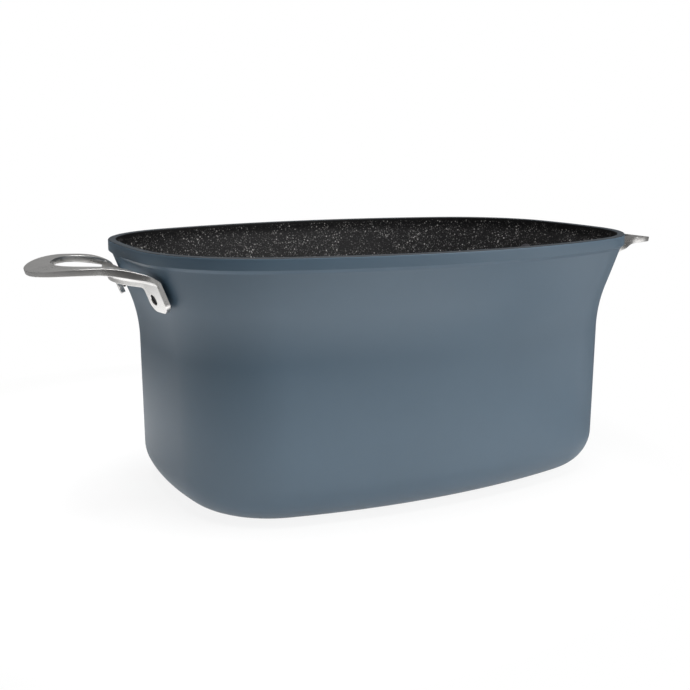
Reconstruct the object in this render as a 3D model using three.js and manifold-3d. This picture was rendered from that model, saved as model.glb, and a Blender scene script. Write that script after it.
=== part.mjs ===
// Oblong flared stew pot, open on top, with a cast loop handle riveted to each end.
// Millimetres, +Z up. The origin is the middle of the base, +X runs along the pot, -Y is its front.
import * as THREE from "three";
import { mergeVertices } from "three/addons/utils/BufferGeometryUtils.js";
import Module from "manifold-3d";

const wasm = await Module();
wasm.setup();

const degree = Math.PI / 180;
const quarterTurn = Math.PI / 2;

// Plan of the pot: a bow on each side and each end, joined by corner arcs that touch both.
// The rim has one set of radii and the upright wall another, both measured at the size of the rim.
const rimLength = 350;
const rimWidth = 245.3;
const rimEndBow = 392;
const rimSideBow = 367;
const rimCorner = 81;
const wallEndBow = 292.5;
const wallSideBow = 488;
const wallCorner = 84;

// Upright profile of the pot, from the rim down
const potHeight = 163.9;
const bandHeight = 7.1;
const bandStep = 2.4;
const bandStepHeight = 2;
const bandFootRound = 0.5;
const stepFillet = 0.9;
const flareAngle = 21 * degree;
const flareRadius = 87.7;
const flareInset = 18;
const draftAngle = 0.4 * degree;
const baseFillet = 24.6;

// Thickness of the casting
const rimThickness = 5.2;
const wallThickness = 3.6;
const baseThickness = 5;
const rimRound = 0.9;

// Rivets, four alike, square to the wall where they pass through it
const rivetSpread = 80.5;
const rivetBelowRim = 26.2;
const rivetHole = 6.4;
const rivetHeadWidth = 13;
const rivetHeadHeight = 2;
const rivetHeadEdge = 0.6;
const rivetEndRound = 0.4;
const rivetRecess = 1;
const fitGap = 0.3;

// Spacer round each rivet, between the wall and the handle
const standOff = 2.3;
const spacerWidth = 9.6;

// Handle, side view: a leg, a tight heel, a curved root, a shallow arch and the nose beyond its top
const footBelowRivet = 8.2;
const heelAboveRivet = 10.1;
const heelRadius = 4;
const rootRadius = 31;
const rootTurn = 27.7 * degree;
const archRadius = 98.7;
const archTurn = 11 * degree;
const noseRadius = 114;
const noseLength = 30.5;
const legThickness = 3.1;
const rootThickness = 4.4;
const tipThickness = 2.9;
const taperPowerShare = 1.5;

// Handle, flat pattern on each side of its middle line
const rivetToLegGap = 5.85;
const legWidth = 19;
const footRound = 6;
const loopDrawnIn = 10.6;
const loopEndLength = 33.5;
const holeDrawnIn = 2.8;
const holeEndLength = 22;
const tipWidth = 16;
const shoulderStart = 4.5;
const handleRound = 0.7;

// Web between the legs, from just under the heel to the wall side of the finger hole.
// It bows away from the pot, and its faces lie a little under those of the legs and the arms.
const webBow = 66;
const webDrop = 3.2;
const webRise = 13;
const webSeat = 3;
const webSunk = 0.3;
const webRound = 0.6;
const webFootFillet = 2;
const holeFillet = 4;

// Facets: steps along each curve
const endSteps = 3;
const cornerSteps = 10;
const sideSteps = 5;
const filletSteps = 6;
const flareSteps = 5;
const coneSteps = 3;
const roundSteps = 2;
const wallSteps = 2;
const footSteps = 4;
const heelSteps = 3;
const rootSteps = 5;
const archSteps = 3;
const loopSteps = 10;
const webSteps = 4;
const webFilletSteps = 3;
const boreSides = 20;

const ease = (share) => share * share * (3 - 2 * share);
const clamp = (share) => Math.min(1, Math.max(0, share));

// Shares from 0 to 1 in equal steps, both ends with it.
const sharesOf = (steps) => Array.from({ length: steps + 1 }, (unused, step) => step / steps);

// Angles from one value to another in equal steps.
const angles = (from, to, steps) => sharesOf(steps).map((share) => from + (to - from) * share);

// Closed surface through rings of equal point counts, with a flat fan over the first and last ring.
function loft(rings) {
  const around = rings[0].length;
  const middle = (ring) =>
    ring.reduce((sum, point) => sum.add(point), new THREE.Vector3()).divideScalar(around);
  const points = [...rings.flat(), middle(rings[0]), middle(rings.at(-1))];
  const lowMiddle = points.length - 2;
  const highMiddle = points.length - 1;
  const faces = [];
  for (let side = 0; side < around; side += 1) {
    const next = (side + 1) % around;
    faces.push(lowMiddle, next, side);
    for (let level = 0; level < rings.length - 1; level += 1) {
      const low = level * around;
      const high = low + around;
      faces.push(low + side, low + next, high + next);
      faces.push(low + side, high + next, high + side);
    }
    const top = (rings.length - 1) * around;
    faces.push(highMiddle, top + side, top + next);
  }
  const geometry = new THREE.BufferGeometry().setFromPoints(points);
  geometry.setIndex(faces);
  return geometry;
}

// Solid of a closed geometry, and the geometry of a solid
function solidOf(geometry) {
  const bare = new THREE.BufferGeometry();
  bare.setAttribute("position", geometry.getAttribute("position"));
  bare.setIndex(geometry.getIndex());
  const merged = mergeVertices(bare);
  const vertProperties = merged.attributes.position.array;
  const triVerts = new Uint32Array(merged.index.array);
  return new wasm.Manifold(new wasm.Mesh({ numProp: 3, vertProperties, triVerts }));
}

function geometryOf(solid) {
  const mesh = solid.getMesh();
  const geometry = new THREE.BufferGeometry();
  geometry.setAttribute("position", new THREE.BufferAttribute(mesh.vertProperties, mesh.numProp));
  geometry.setIndex(new THREE.BufferAttribute(mesh.triVerts, 1));
  geometry.computeVertexNormals();
  return geometry;
}

// Heights of the pot's outer profile
const bandFoot = potHeight - bandHeight;
const flareTop = bandFoot - bandStepHeight;
const flareArcInset = flareRadius * (1 - Math.cos(flareAngle));
const flareArcHeight = flareRadius * Math.sin(flareAngle);
const coneHeight = (flareInset - bandStep - flareArcInset) / Math.tan(flareAngle);
const coneFoot = flareTop - coneHeight;
const flareFoot = coneFoot - flareArcHeight;

// How far the outer wall stands in from the rim's outline at a height.
function insetAt(height) {
  if (height >= bandFoot) {
    return 0;
  }
  if (height >= flareTop) {
    return (bandStep * (bandFoot - height)) / bandStepHeight;
  }
  if (height >= coneFoot) {
    return bandStep + (flareTop - height) * Math.tan(flareAngle);
  }
  if (height >= flareFoot) {
    const risen = height - flareFoot;
    return flareInset - flareRadius + Math.sqrt(flareRadius ** 2 - risen ** 2);
  }
  return flareInset + (flareFoot - height) * Math.tan(draftAngle);
}

// Radii and corner centre of the plan at a height, with the wall's plan eased into the rim's.
function planAt(height) {
  const wallShare = clamp((bandFoot - height) / (bandFoot - flareFoot));
  const endBow = THREE.MathUtils.lerp(rimEndBow, wallEndBow, wallShare);
  const sideBow = THREE.MathUtils.lerp(rimSideBow, wallSideBow, wallShare);
  const corner = THREE.MathUtils.lerp(rimCorner, wallCorner, wallShare);
  const endCentre = new THREE.Vector2(rimLength / 2 - endBow, 0);
  const sideCentre = new THREE.Vector2(0, rimWidth / 2 - sideBow);
  const across = sideCentre.clone().sub(endCentre);
  const apart = across.length();
  const fromEnd = endBow - corner;
  const fromSide = sideBow - corner;
  const along = (fromEnd ** 2 - fromSide ** 2 + apart ** 2) / (2 * apart);
  const off = Math.sqrt(fromEnd ** 2 - along ** 2);
  const unit = across.divideScalar(apart);
  const centre = endCentre.clone().addScaledVector(unit, along);
  centre.addScaledVector(new THREE.Vector2(-unit.y, unit.x), off);
  const endAngle = Math.atan2(centre.y, centre.x - endCentre.x);
  const sideAngle = Math.atan2(centre.y - sideCentre.y, centre.x);
  return { endBow, sideBow, corner, endCentre, sideCentre, centre, endAngle, sideAngle };
}

// One ring of the pot, anticlockwise from above, an inset in from the rim's outline.
function potRing(height, inset) {
  const plan = planAt(height);
  const arc = (middle, radius, turns) =>
    turns.map((turn) => [
      middle.x + (radius - inset) * Math.cos(turn),
      middle.y + (radius - inset) * Math.sin(turn),
    ]);
  const quarter = [
    ...arc(plan.endCentre, plan.endBow, angles(0, plan.endAngle, endSteps)),
    ...arc(plan.centre, plan.corner, angles(plan.endAngle, plan.sideAngle, cornerSteps)).slice(1),
    ...arc(plan.sideCentre, plan.sideBow, angles(plan.sideAngle, quarterTurn, sideSteps)).slice(1),
  ];
  const back = quarter.slice(1, -1).reverse();
  const points = [
    ...quarter,
    ...back.map(([x, y]) => [-x, y]),
    ...quarter.map(([x, y]) => [-x, -y]),
    ...back.map(([x, y]) => [x, -y]),
  ];
  return points.map(([x, y]) => new THREE.Vector3(x, y, height));
}

// Levels on the arc that rounds one corner of the profile.
function roundedCorner(before, corner, after, radius) {
  const back = before.clone().sub(corner).normalize();
  const on = after.clone().sub(corner).normalize();
  const half = Math.acos(back.dot(on)) / 2;
  const run = radius / Math.tan(half);
  const centre = back.clone().add(on).setLength(radius / Math.sin(half)).add(corner);
  const start = back.multiplyScalar(run).add(corner).sub(centre);
  const end = on.multiplyScalar(run).add(corner).sub(centre);
  const sweep = Math.atan2(start.cross(end), start.dot(end));
  const level = (turn) => start.clone().rotateAround(new THREE.Vector2(), turn).add(centre).toArray();
  return angles(0, sweep, roundSteps).map(level);
}

// Levels of the outer face from the base up, each a height and an inset.
function outerLevels() {
  const levels = [];
  for (const turn of angles(0, quarterTurn, filletSteps)) {
    const height = baseFillet * (1 - Math.cos(turn));
    levels.push([height, insetAt(height) + baseFillet * (1 - Math.sin(turn))]);
  }
  for (const share of sharesOf(wallSteps).slice(1, -1)) {
    const height = THREE.MathUtils.lerp(baseFillet, flareFoot, share);
    levels.push([height, insetAt(height)]);
  }
  for (const turn of angles(0, flareAngle, flareSteps)) {
    const height = flareFoot + flareRadius * Math.sin(turn);
    levels.push([height, insetAt(height)]);
  }
  for (const share of sharesOf(coneSteps).slice(1, -1)) {
    const height = coneFoot + coneHeight * share;
    levels.push([height, insetAt(height)]);
  }
  const cone = new THREE.Vector2(coneFoot, insetAt(coneFoot));
  const step = new THREE.Vector2(flareTop, bandStep);
  const band = new THREE.Vector2(bandFoot, 0);
  const rim = new THREE.Vector2(potHeight, 0);
  levels.push(...roundedCorner(cone, step, band, stepFillet));
  levels.push(...roundedCorner(step, band, rim, bandFootRound));
  for (const turn of angles(0, quarterTurn, roundSteps)) {
    const height = potHeight - rimRound * (1 - Math.sin(turn));
    levels.push([height, rimRound * (1 - Math.cos(turn))]);
  }
  return levels;
}

// Levels of the inner face from the rim down to the floor.
function innerLevels() {
  const levels = [];
  for (const turn of angles(quarterTurn, 0, roundSteps)) {
    const height = potHeight - rimRound * (1 - Math.sin(turn));
    levels.push([height, rimThickness - rimRound * (1 - Math.cos(turn))]);
  }
  const lipFoot = flareTop + (bandStep + wallThickness - rimThickness) / Math.tan(flareAngle);
  levels.push([lipFoot, rimThickness]);
  for (const share of sharesOf(coneSteps).slice(1)) {
    const height = THREE.MathUtils.lerp(lipFoot, coneFoot, share);
    levels.push([height, bandStep + (flareTop - height) * Math.tan(flareAngle) + wallThickness]);
  }
  for (const turn of angles(flareAngle, 0, flareSteps).slice(1)) {
    const height = flareFoot + flareRadius * Math.sin(turn);
    levels.push([height, insetAt(height) + wallThickness]);
  }
  const innerFillet = baseFillet - wallThickness;
  for (const turn of angles(quarterTurn, 0, filletSteps)) {
    const height = baseThickness + innerFillet * (1 - Math.cos(turn));
    levels.push([height, insetAt(height) + wallThickness + innerFillet * (1 - Math.sin(turn))]);
  }
  return levels;
}

// Seat of the rear rivet on the +X end: the point on the outer wall and the way it faces there
const seatHeight = potHeight - rivetBelowRim;
const seatPlan = planAt(seatHeight);
const seatInset = insetAt(seatHeight);
const seatBow = seatPlan.endBow - seatInset;
const seatCorner = seatPlan.corner - seatInset;
const seatOnBow = rivetSpread / 2 < seatBow * Math.sin(seatPlan.endAngle);
const seatTurn = seatOnBow
  ? Math.asin(rivetSpread / 2 / seatBow)
  : Math.asin((rivetSpread / 2 - seatPlan.centre.y) / seatCorner);
const seatX = seatOnBow
  ? seatPlan.endCentre.x + seatBow * Math.cos(seatTurn)
  : seatPlan.centre.x + seatCorner * Math.cos(seatTurn);
const seat = new THREE.Vector3(seatX, rivetSpread / 2, seatHeight);
const seatNormal = new THREE.Vector3(
  Math.cos(seatTurn) * Math.cos(flareAngle),
  Math.sin(seatTurn) * Math.cos(flareAngle),
  -Math.sin(flareAngle),
);
const wallDepth = wallThickness * Math.cos(flareAngle);

// Turns a shape made round the Y axis to a rivet's place on one end and one side of the pot.
function placeAtSeat(mesh, end, side) {
  const normal = seatNormal.clone().multiply(new THREE.Vector3(end, side, 1));
  mesh.quaternion.setFromUnitVectors(new THREE.Vector3(0, 1, 0), normal);
  mesh.position.copy(seat).multiply(new THREE.Vector3(end, side, 1));
  return mesh;
}

// Bore for one rivet, through the wall, the spacer and the leg.
function rivetBore(end, side) {
  const reach = wallDepth + standOff + legThickness;
  const bore = new THREE.CylinderGeometry(rivetHole / 2, rivetHole / 2, 2 * reach, boreSides);
  const placed = placeAtSeat(new THREE.Mesh(bore), end, side);
  placed.updateMatrixWorld();
  return solidOf(bore.applyMatrix4(placed.matrixWorld));
}

function potGeometry() {
  const rings = [...outerLevels(), ...innerLevels()].map(([height, inset]) => potRing(height, inset));
  let shell = solidOf(loft(rings));
  for (const end of [-1, 1]) {
    for (const side of [-1, 1]) {
      shell = shell.subtract(rivetBore(end, side));
    }
  }
  return geometryOf(shell);
}

// Side view of the handle's upper face, a chain of arcs from the foot of the leg to the nose.
// The leg lies parallel to the wall, off it by the spacer.
const legAngle = Math.atan2(seatNormal.x, -seatNormal.z);
const legLength = footBelowRivet + heelAboveRivet;
const heelTurn = legAngle - rootTurn - archTurn;
const anchor = seat.clone().addScaledVector(seatNormal, standOff);
const tilt = seatNormal.y / seatNormal.x;
const legInner = rivetSpread / 2 - rivetToLegGap;
const legOuter = legInner + legWidth;
const loopSide = legOuter - loopDrawnIn;
const holeSide = legInner - holeDrawnIn;
const sagitta = (across) => webBow - Math.sqrt(webBow ** 2 - across ** 2);

function handleSpine() {
  const arcs = [
    { length: legLength, bend: 0 },
    { length: heelRadius * heelTurn, bend: 1 / heelRadius },
    { length: rootRadius * rootTurn, bend: 1 / rootRadius },
    { length: archRadius * archTurn, bend: 1 / archRadius },
    { length: noseLength, bend: 1 / noseRadius },
  ];
  let from = {
    start: 0,
    x: anchor.x - footBelowRivet * Math.cos(legAngle),
    z: anchor.z - footBelowRivet * Math.sin(legAngle),
    angle: legAngle,
  };
  const spine = [];
  for (const arc of arcs) {
    const piece = { ...from, ...arc };
    spine.push(piece);
    from = { start: piece.start + arc.length, ...alongPiece(piece, arc.length) };
  }
  return spine;
}

function alongPiece(piece, run) {
  const angle = piece.angle - run * piece.bend;
  if (piece.bend === 0) {
    return { x: piece.x + run * Math.cos(angle), z: piece.z + run * Math.sin(angle), angle };
  }
  const x = piece.x + (Math.sin(piece.angle) - Math.sin(angle)) / piece.bend;
  const z = piece.z + (Math.cos(angle) - Math.cos(piece.angle)) / piece.bend;
  return { x, z, angle };
}

const spine = handleSpine();
const [, heel, root, arch, nose] = spine;
const noseEnd = nose.start + noseLength;

function spineAt(run) {
  const piece = spine.findLast((each) => each.start <= run) ?? spine[0];
  return alongPiece(piece, run - piece.start);
}

// Thickness of the handle along its length: even on the leg, full at the root, thin at the nose.
function thicknessAt(run) {
  if (run < arch.start) {
    const rootShare = clamp((run - root.start) / (arch.start - root.start));
    return THREE.MathUtils.lerp(legThickness, rootThickness, ease(rootShare));
  }
  const noseShare = clamp((run - arch.start) / (noseEnd - arch.start));
  return THREE.MathUtils.lerp(rootThickness, tipThickness, noseShare ** taperPowerShare);
}

// Place of a point of the flat pattern: how far along, how far across, and how deep in the plate.
// The legs lean with the wall in plan, the stretch between them bows out, and both fade along the root.
function bent(run, across, depth) {
  const place = spineAt(run);
  const lean = 1 - ease(clamp((run - root.start) / (arch.start - root.start)));
  const aside = Math.abs(across);
  const bow = sagitta(legInner) - sagitta(Math.min(aside, legInner));
  const back = lean * (tilt * (Math.max(aside, legInner) - anchor.y) - bow);
  const x = place.x + depth * Math.sin(place.angle) - back;
  const z = place.z - depth * Math.cos(place.angle);
  return new THREE.Vector3(x, across, z);
}

// Points round a rectangle with rounded corners, anticlockwise, each a width and a depth.
function roundedSection(width, depth, round) {
  const corners = [
    [width - round, depth - round],
    [round, depth - round],
    [round, round],
    [width - round, round],
  ];
  return corners.flatMap(([across, down], corner) =>
    angles(corner * quarterTurn, (corner + 1) * quarterTurn, roundSteps).map((turn) => [
      across + round * Math.cos(turn),
      down + round * Math.sin(turn),
    ]),
  );
}

// Stations of half the loop, from the foot to the middle of the nose: a point on the outer side
// and one on the inner side, each as a run along the pattern and a distance from its middle line.
function loopStations() {
  const loopCentre = noseEnd - loopEndLength;
  const holeCentre = noseEnd - tipWidth - holeEndLength;
  const easedTo = (run, centre, legEdge, loopEdge) => {
    const share = clamp((run - root.start - shoulderStart) / (centre - root.start - shoulderStart));
    return THREE.MathUtils.lerp(legEdge, loopEdge, ease(share));
  };
  const outerAt = (run) => [run, easedTo(run, loopCentre, legOuter, loopSide)];
  const innerAt = (run) => [run, easedTo(run, holeCentre, legInner, holeSide)];
  const stations = [];
  for (const turn of angles(0, quarterTurn, footSteps)) {
    const run = footRound * (1 - Math.cos(turn));
    const drawn = footRound * (1 - Math.sin(turn));
    stations.push({ outer: [run, legOuter - drawn], inner: [run, legInner + drawn] });
  }
  for (const share of sharesOf(heelSteps)) {
    const run = THREE.MathUtils.lerp(heel.start, root.start, share);
    stations.push({ outer: outerAt(run), inner: innerAt(run) });
  }
  for (const share of sharesOf(rootSteps).slice(1)) {
    const run = THREE.MathUtils.lerp(root.start, arch.start, share);
    stations.push({ outer: outerAt(run), inner: innerAt(run) });
  }
  for (const share of sharesOf(archSteps).slice(1, -1)) {
    const outerRun = THREE.MathUtils.lerp(arch.start, loopCentre, share);
    const innerRun = THREE.MathUtils.lerp(arch.start, holeCentre, share);
    stations.push({ outer: outerAt(outerRun), inner: innerAt(innerRun) });
  }
  for (const turn of angles(quarterTurn, 0, loopSteps)) {
    const along = Math.cos(turn);
    const across = Math.sin(turn);
    stations.push({
      outer: [loopCentre + loopEndLength * along, loopSide * across],
      inner: [holeCentre + holeEndLength * along, holeSide * across],
    });
  }
  return stations;
}

// One ring of the loop: the rounded plate section between the two sides of a station.
function loopRing({ outer, inner }, side) {
  const width = Math.hypot(outer[0] - inner[0], outer[1] - inner[1]);
  const place = (share, index) => THREE.MathUtils.lerp(inner[index], outer[index], share);
  const middle = (inner[0] + outer[0]) / 2;
  return roundedSection(width, thicknessAt(middle), handleRound).map(([across, depth]) => {
    const share = across / width;
    return bent(place(share, 0), side * place(share, 1), depth);
  });
}

function loopSolid() {
  const stations = loopStations();
  const front = stations.map((station) => loopRing(station, -1));
  const rear = stations.slice(0, -1).reverse();
  return solidOf(loft([...front, ...rear.map((station) => loopRing(station, 1))]));
}

// One ring of the web at a distance from the middle line: a strip of the plate with blunted ends.
function webRing(across, low, high) {
  const runs = [low + webRound, heel.start, root.start, (root.start + high) / 2, high - webRound];
  const face = (run) => bent(run, across, webSunk);
  const under = (run) => bent(run, across, thicknessAt(run) - webSunk);
  const endPair = (run) => [
    bent(run, across, thicknessAt(run) - webSunk - webRound),
    bent(run, across, webSunk + webRound),
  ];
  return [
    ...runs.map(face),
    ...endPair(high).reverse(),
    ...runs.map(under).reverse(),
    ...endPair(low),
  ];
}

function webSolid() {
  const foot = heel.start - webDrop;
  const top = root.start + webRise;
  const flat = legInner - holeFillet;
  const stations = sharesOf(webSteps).map((share) => [flat * share, 0, 0]);
  for (const turn of angles(0, quarterTurn, webFilletSteps).slice(1)) {
    const across = flat + holeFillet * Math.sin(turn);
    const footShare = clamp((across - legInner + webFootFillet) / webFootFillet);
    const dropped = webFootFillet * (1 - Math.sqrt(1 - footShare ** 2));
    stations.push([across, holeFillet * (1 - Math.cos(turn)), dropped]);
  }
  stations.push([legInner + webSeat, holeFillet, webFootFillet]);
  const ring = ([across, raised, dropped], side) => {
    const high = top - sagitta(Math.min(across, legInner)) + raised;
    return webRing(side * across, foot - dropped, high);
  };
  const front = stations.slice(1).reverse();
  return solidOf(loft([...front.map((each) => ring(each, -1)), ...stations.map((each) => ring(each, 1))]));
}

function handleGeometry() {
  let handle = loopSolid().add(webSolid());
  for (const side of [-1, 1]) {
    handle = handle.subtract(rivetBore(1, side));
  }
  return geometryOf(handle);
}

// Rivet: a low head inside the pot, a shank through the wall, and an end sunk in the leg.
function rivetGeometry() {
  const shank = rivetHole / 2 - fitGap;
  const headRadius = rivetHeadWidth / 2;
  const wallCurve = headRadius ** 2 / (2 * seatCorner);
  const under = -wallDepth - fitGap - wallCurve;
  const end = standOff + legThickness - rivetRecess;
  const domeHeight = rivetHeadHeight - rivetHeadEdge;
  const domeRadius = (headRadius ** 2 + domeHeight ** 2) / (2 * domeHeight);
  const domeCentre = under - rivetHeadHeight + domeRadius;
  const dome = angles(0, Math.asin(headRadius / domeRadius), footSteps).map(
    (turn) => new THREE.Vector2(domeRadius * Math.sin(turn), domeCentre - domeRadius * Math.cos(turn)),
  );
  const profile = [
    ...dome,
    new THREE.Vector2(headRadius, under),
    new THREE.Vector2(shank, under),
    new THREE.Vector2(shank, end - rivetEndRound),
    new THREE.Vector2(shank - rivetEndRound, end),
    new THREE.Vector2(0, end),
  ];
  return new THREE.LatheGeometry(profile, boreSides);
}

function spacerGeometry() {
  const bore = rivetHole / 2;
  const outside = spacerWidth / 2;
  const profile = [
    new THREE.Vector2(bore, fitGap),
    new THREE.Vector2(outside, fitGap),
    new THREE.Vector2(outside, standOff - fitGap),
    new THREE.Vector2(bore, standOff - fitGap),
    new THREE.Vector2(bore, fitGap),
  ];
  return new THREE.LatheGeometry(profile, boreSides);
}

// Finishes
const slateBlue = new THREE.MeshStandardMaterial({ color: 0x51626f, roughness: 0.5, metalness: 0 });
const castSteel = new THREE.MeshStandardMaterial({ color: 0xa5a5a3, roughness: 0.35, metalness: 1 });
const darkMetal = new THREE.MeshStandardMaterial({ color: 0x3c3d3f, roughness: 0.5, metalness: 0.6 });

function named(name, geometry, material) {
  const mesh = new THREE.Mesh(geometry, material);
  mesh.name = name;
  return mesh;
}

const pot = new THREE.Group();
pot.add(named("pot_body", potGeometry(), slateBlue));

const handle = handleGeometry();
const rivet = rivetGeometry();
const spacer = spacerGeometry();
for (const [endName, end] of [["left", -1], ["right", 1]]) {
  const grip = named(`${endName}_handle`, handle, castSteel);
  grip.rotation.z = end < 0 ? 2 * quarterTurn : 0;
  pot.add(grip);
  for (const [sideName, side] of [["front", -1], ["rear", 1]]) {
    const place = `${endName}_${sideName}`;
    pot.add(placeAtSeat(named(`${place}_rivet`, rivet, darkMetal), end, side));
    pot.add(placeAtSeat(named(`${place}_spacer`, spacer, darkMetal), end, side));
  }
}

export default pot;
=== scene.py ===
"""Oblong flared stew pot with two riveted loop handles, dressed round its CAD frame.

Lengths in this file are millimetres and angles radians, unless a name says otherwise. The meshes are
scaled to metres as they are made. +Z is up, +X runs along the pot, and -Y is its front.
"""

import math

import bmesh
import bpy
import numpy as np
from mathutils import Matrix, Vector
from mathutils.geometry import delaunay_2d_cdt


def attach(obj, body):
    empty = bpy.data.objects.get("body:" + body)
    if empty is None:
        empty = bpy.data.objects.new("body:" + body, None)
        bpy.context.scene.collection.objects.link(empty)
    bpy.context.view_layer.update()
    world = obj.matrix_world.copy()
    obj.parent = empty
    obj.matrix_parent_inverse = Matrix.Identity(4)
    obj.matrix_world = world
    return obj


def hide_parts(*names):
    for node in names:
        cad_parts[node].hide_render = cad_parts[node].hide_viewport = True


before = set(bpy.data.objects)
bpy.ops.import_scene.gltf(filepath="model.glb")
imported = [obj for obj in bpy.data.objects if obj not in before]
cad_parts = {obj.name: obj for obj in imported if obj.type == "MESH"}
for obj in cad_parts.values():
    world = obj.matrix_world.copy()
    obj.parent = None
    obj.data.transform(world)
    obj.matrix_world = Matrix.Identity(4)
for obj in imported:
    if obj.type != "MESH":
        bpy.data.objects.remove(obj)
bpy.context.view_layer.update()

METRE = 0.001
QUARTER = math.pi / 2
FULL_TURN = 4 * QUARTER
SHARP_EDGE = math.radians(40)

# Plan of the pot: bows on its sides and ends, joined by corner arcs
RIM_LENGTH = 350
RIM_WIDTH = 245.3
RIM_END_BOW = 392
RIM_SIDE_BOW = 367
RIM_CORNER = 81
WALL_END_BOW = 292.5
WALL_SIDE_BOW = 488
WALL_CORNER = 84

# Upright profile of the pot
POT_HEIGHT = 163.9
BAND_HEIGHT = 7.1
BAND_STEP = 2.4
BAND_STEP_HEIGHT = 2
FLARE_ANGLE = math.radians(21)
FLARE_RADIUS = 87.7
FLARE_INSET = 18
DRAFT_ANGLE = math.radians(0.4)
BASE_FILLET = 24.6
RIM_THICKNESS = 5.2
WALL_THICKNESS = 3.6
BASE_THICKNESS = 5
RIM_ROUND = 0.9
STEP_ROUND = 0.9
BAND_ROUND = 0.5
LIP_RADIUS = 24

# Faces along the pot's plan and up its profile, and round the turned pieces
END_STEPS = 16
CORNER_STEPS = 40
SIDE_STEPS = 28
FILLET_STEPS = 16
WALL_STEPS = 6
FLARE_STEPS = 18
CONE_STEPS = 10
LIP_STEPS = 8
RIM_STEPS = 6
ROUNDING_STEPS = 4
TURNED_SIDES = 64

# Finishes of the pot's faces, and how many levels of its rim stay bare on either side of the top
PAINTED, COATED, BARE = 0, 1, 2
BARE_OUTSIDE = 5
BARE_INSIDE = 3

# Rivets and spacers
RIVET_SPREAD = 80.5
RIVET_BELOW_RIM = 26.2
RIVET_HOLE = 6.4
RIVET_HEAD_WIDTH = 13
RIVET_HEAD_HEIGHT = 2
RIVET_HEAD_EDGE = 0.6
RIVET_END_ROUND = 0.4
RIVET_RECESS = 1
FIT_GAP = 0.3
STAND_OFF = 2.3
SPACER_WIDTH = 9.6
SPACER_ROUND = 0.25

# Handle, side view and flat pattern
FOOT_BELOW_RIVET = 8.2
HEEL_ABOVE_RIVET = 10.1
HEEL_RADIUS = 4
ROOT_RADIUS = 31
ROOT_TURN = math.radians(27.7)
ARCH_RADIUS = 98.7
ARCH_TURN = math.radians(11)
NOSE_RADIUS = 114
NOSE_LENGTH = 30.34
LEG_THICKNESS = 3.1
ROOT_THICKNESS = 4.4
TIP_THICKNESS = 2.9
TAPER_POWER = 1.5
RIVET_TO_LEG_GAP = 5.85
LEG_WIDTH = 19
FOOT_ROUND = 6
LOOP_DRAWN_IN = 10.6
LOOP_END_LENGTH = 33.5
HOLE_DRAWN_IN = 2.8
HOLE_END_LENGTH = 22
TIP_WIDTH = 16
SHOULDER_START = 4.5
UPPER_ROUND = 0.15
LOWER_ROUND = 0.45
FLAT_MARGIN = 0.15
WEB_BOW = 66
WEB_DROP = 3.2
WEB_RISE = 13
WEB_BLEND = 2
WEB_FOOT_FILLET = 2
HOLE_FILLET = 4
GRID_SPACING = 1
HEEL_SPACING = 0.35
GRID_CLEARANCE = 0.45


def ease(share):
    return share * share * (3 - 2 * share)


def clamp(share):
    return min(1, max(0, share))


def mix(low, high, share):
    return low + (high - low) * share


def spaced(low, high, steps):
    """Values from low to high in equal steps, both ends with them."""
    return [mix(low, high, step / steps) for step in range(steps + 1)]


# ---- Meshes


def mesh_of(name, points, faces, scale=METRE):
    mesh = bpy.data.meshes.new(name)
    mesh.from_pydata([tuple(scale * value for value in point) for point in points], [], faces)
    mesh.update()
    return mesh


def object_of(name, mesh):
    piece = bpy.data.objects.new(name, mesh)
    bpy.context.scene.collection.objects.link(piece)
    return piece


def loft_faces(rings, around):
    """Quads between rings of equal point counts, first to last, and a face over each end."""
    faces = [tuple(reversed(range(around)))]
    for level in range(rings - 1):
        low = level * around
        for side in range(around):
            following = (side + 1) % around
            faces.append((low + side, low + following, low + around + following, low + around + side))
    top = (rings - 1) * around
    faces.append(tuple(range(top, top + around)))
    return faces


def cut_out(piece, other):
    """Cuts another piece out of this one, and removes the other piece."""
    modifier = piece.modifiers.new("Boolean", "BOOLEAN")
    modifier.operation, modifier.object, modifier.solver = "DIFFERENCE", other, "EXACT"
    depsgraph = bpy.context.evaluated_depsgraph_get()
    mesh = bpy.data.meshes.new_from_object(piece.evaluated_get(depsgraph), depsgraph=depsgraph)
    piece.modifiers.clear()
    piece.data = mesh
    bpy.data.objects.remove(other)


def smooth_shaded(mesh):
    mesh.polygons.foreach_set("use_smooth", [True] * len(mesh.polygons))
    mesh.set_sharp_from_angle(angle=SHARP_EDGE)


# ---- Pot

BAND_FOOT = POT_HEIGHT - BAND_HEIGHT
FLARE_TOP = BAND_FOOT - BAND_STEP_HEIGHT
FLARE_ARC_INSET = FLARE_RADIUS * (1 - math.cos(FLARE_ANGLE))
CONE_HEIGHT = (FLARE_INSET - BAND_STEP - FLARE_ARC_INSET) / math.tan(FLARE_ANGLE)
CONE_FOOT = FLARE_TOP - CONE_HEIGHT
FLARE_FOOT = CONE_FOOT - FLARE_RADIUS * math.sin(FLARE_ANGLE)


def inset_at(height):
    """How far the outer wall stands in from the rim's outline at a height."""
    if height >= BAND_FOOT:
        return 0
    if height >= FLARE_TOP:
        return BAND_STEP * (BAND_FOOT - height) / BAND_STEP_HEIGHT
    if height >= CONE_FOOT:
        return BAND_STEP + (FLARE_TOP - height) * math.tan(FLARE_ANGLE)
    if height >= FLARE_FOOT:
        return FLARE_INSET - FLARE_RADIUS + math.sqrt(FLARE_RADIUS**2 - (height - FLARE_FOOT) ** 2)
    return FLARE_INSET + (FLARE_FOOT - height) * math.tan(DRAFT_ANGLE)


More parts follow.
